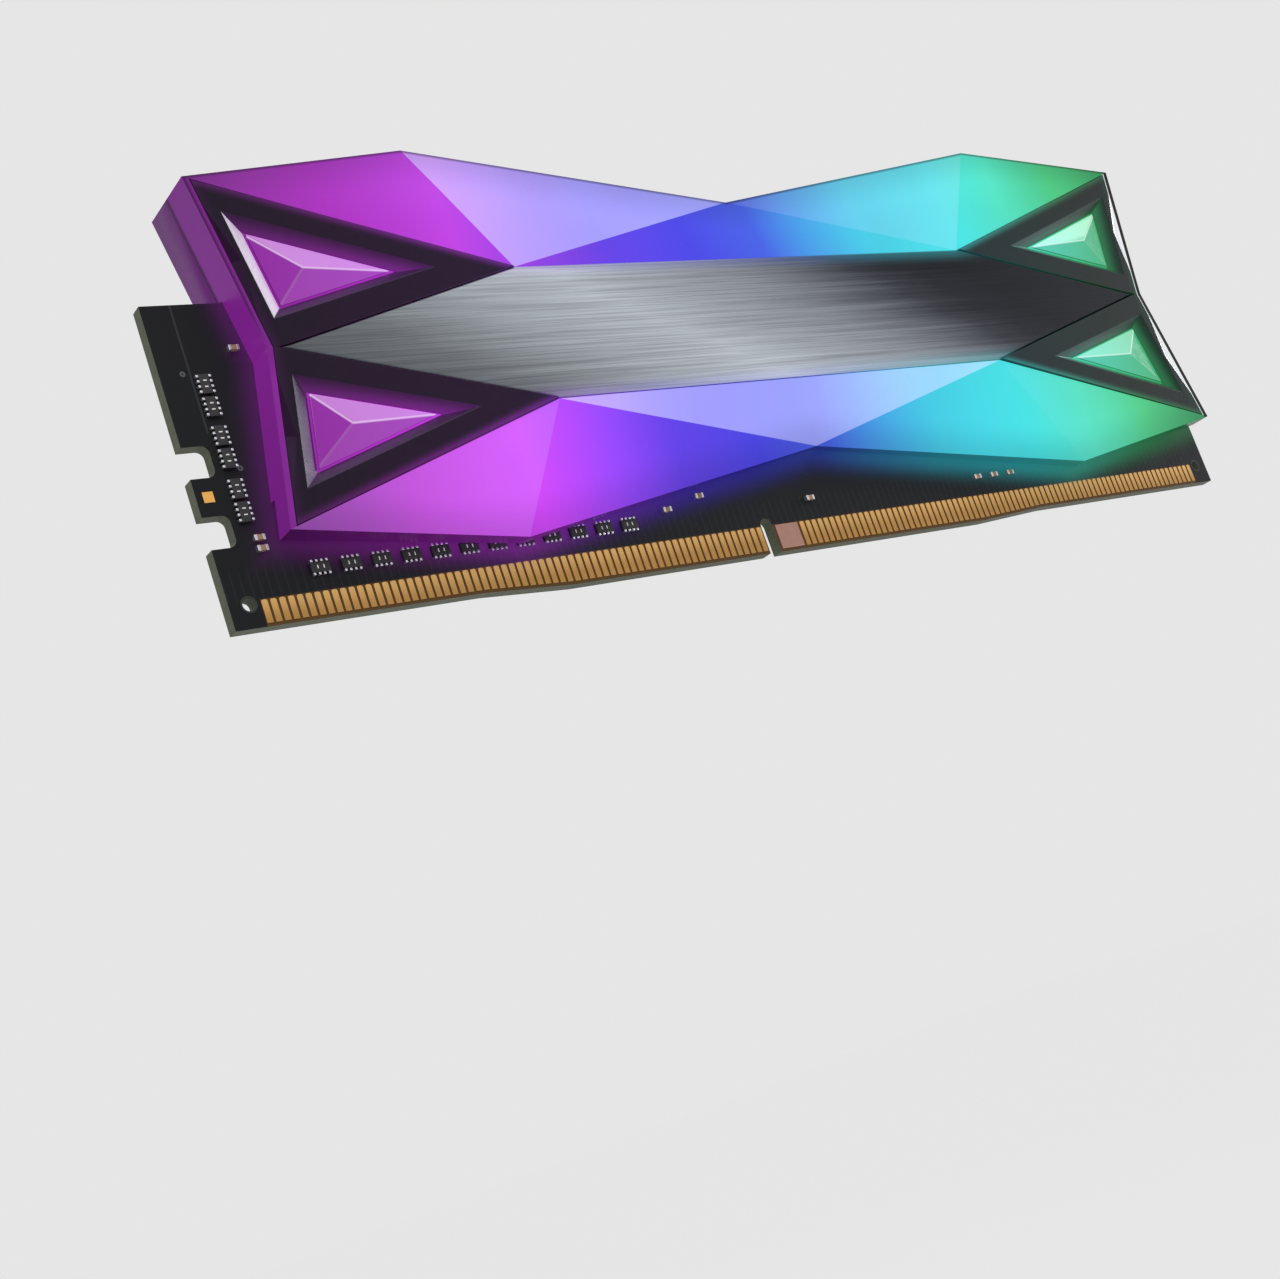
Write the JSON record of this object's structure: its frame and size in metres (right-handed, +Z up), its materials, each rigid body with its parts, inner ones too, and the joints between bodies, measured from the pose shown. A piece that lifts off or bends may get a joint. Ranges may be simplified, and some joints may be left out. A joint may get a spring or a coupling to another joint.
{
  "type": "memory module",
  "caption": "Memory module with a keyed edge connector between two faceted, lit heat spreaders, each with a brushed centre plate and triangular prism windows.",
  "frame": {"origin": "middle of the lowest stretch of the board's contact edge, halfway through the board's thickness", "axes": "+X along the board to the right as the contact side with the memory chips faces the viewer, +Y through the board to its rear face, +Z up from the contact edge"},
  "size_m": [0.1334, 0.008, 0.0455],
  "materials": {
    "solder_mask": "black solder mask over glass epoxy",
    "gold_contacts": "hard gold plating over nickel",
    "bare_copper": "plated copper, no gold",
    "chip_epoxy": "moulded epoxy",
    "led_lens": "white moulded lens",
    "tinned_terminals": "tinned",
    "ceramic_capacitor": "fired ceramic",
    "thermal_pad": "filled silicone",
    "bare_aluminium": "mill finish",
    "light_guide": "frosted, lit from inside",
    "dark_frame": "dark anodised, polished bevels",
    "brushed_plate": "long-grain brushed, grey anodised",
    "clear_prism": "frosted, lit from inside"
  },
  "bodies": {
    "root": {"pcb": "solder_mask", "contacts_front": "gold_contacts", "contacts_rear": "gold_contacts", "copper_pads": "bare_copper", "dram_1": "chip_epoxy", "dram_2": "chip_epoxy", "dram_3": "chip_epoxy", "dram_4": "chip_epoxy", "dram_5": "chip_epoxy", "dram_6": "chip_epoxy", "dram_7": "chip_epoxy", "dram_8": "chip_epoxy", "spd_chip": "chip_epoxy", "led_driver": "chip_epoxy", "leds_front": "led_lens", "leds_rear": "led_lens", "resistor_packs": "chip_epoxy", "pack_terminals": "tinned_terminals", "capacitors": "ceramic_capacitor", "capacitors_rear": "ceramic_capacitor", "thermal_pad_front": "thermal_pad", "thermal_pad_rear": "thermal_pad", "sheet_front": "bare_aluminium", "sheet_rear": "bare_aluminium", "light_guide_front": "light_guide", "light_guide_rear": "light_guide", "frame_front": "dark_frame", "frame_rear": "dark_frame", "centre_plate_front": "brushed_plate", "centre_plate_rear": "brushed_plate", "prism_front_1": "clear_prism", "prism_front_2": "clear_prism", "prism_front_3": "clear_prism", "prism_front_4": "clear_prism", "prism_rear_1": "clear_prism", "prism_rear_2": "clear_prism", "prism_rear_3": "clear_prism", "prism_rear_4": "clear_prism"}
  },
  "joints": []
}
